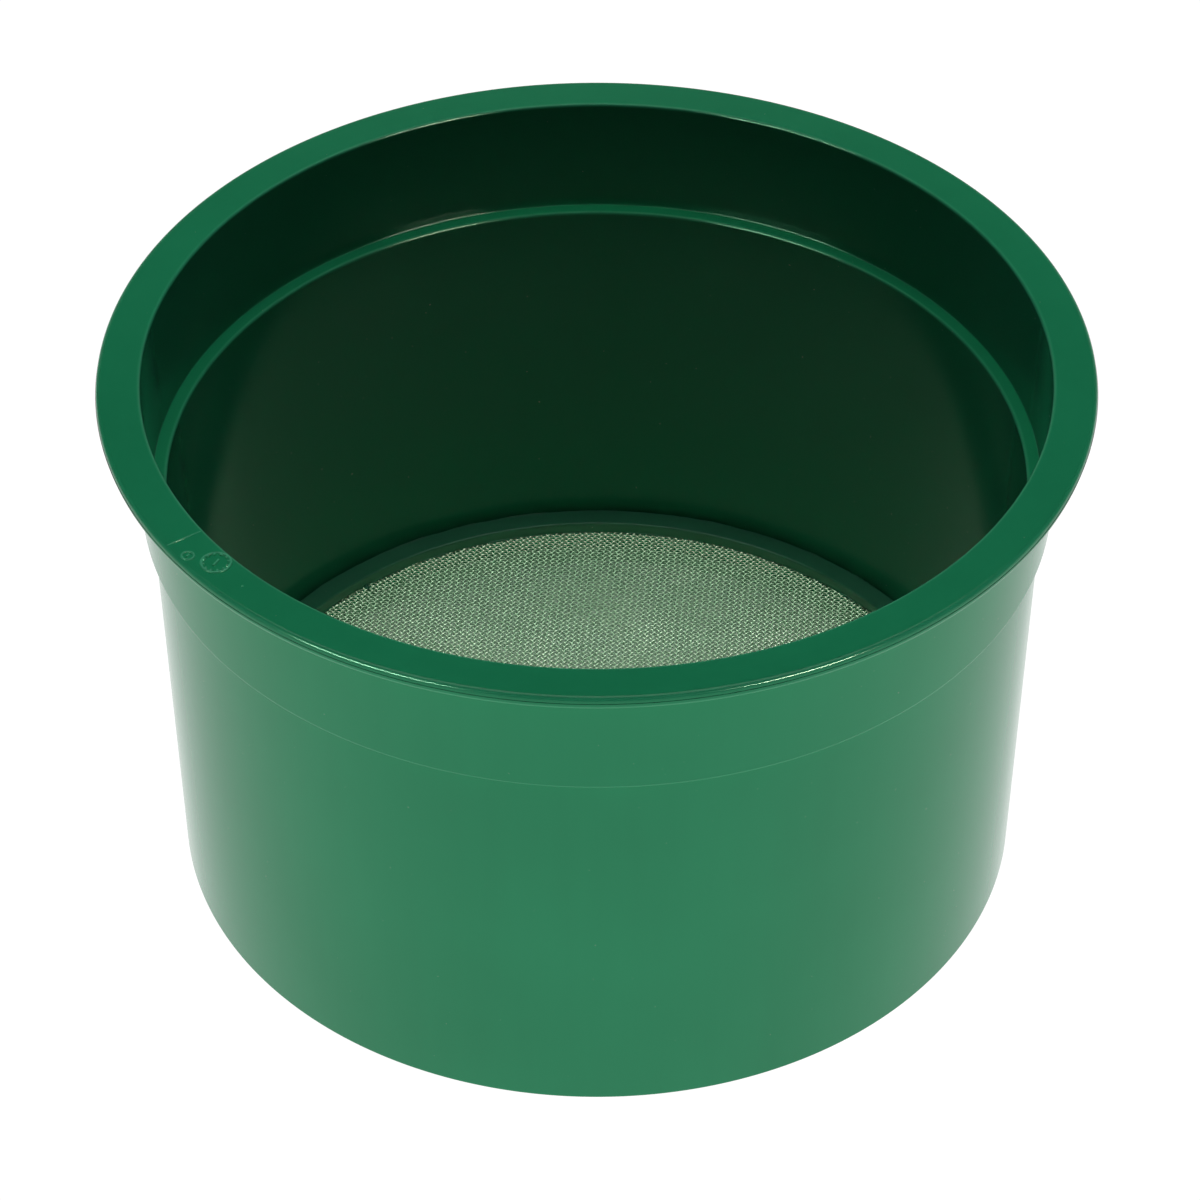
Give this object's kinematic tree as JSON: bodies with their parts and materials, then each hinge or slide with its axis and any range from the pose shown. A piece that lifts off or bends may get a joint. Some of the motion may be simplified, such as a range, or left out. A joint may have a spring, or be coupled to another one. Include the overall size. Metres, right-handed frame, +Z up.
{
  "type": "soil sieve",
  "caption": "Round stackable sieve: a green moulded plastic pan with a flat top flange, an inner stacking ledge, and woven steel wire cloth held in its foot by a retaining ring.",
  "frame": {"origin": "centre of the foot's underside, on the surface that the sieve stands on", "axes": "+Z up along the pan's axis, +X along the warp wires of the cloth, +Y along the weft wires; the moulding marks on the flange lie at -X"},
  "size_m": [0.152, 0.152, 0.0901],
  "materials": {
    "body_plastic": "gloss, moulded",
    "ring_plastic": "gloss, moulded",
    "wire_steel": "bright drawn wire"
  },
  "bodies": {
    "root": {"sieve_body": "body_plastic", "retaining_ring": "ring_plastic", "warp_wires": "wire_steel", "weft_wires": "wire_steel"}
  },
  "joints": []
}
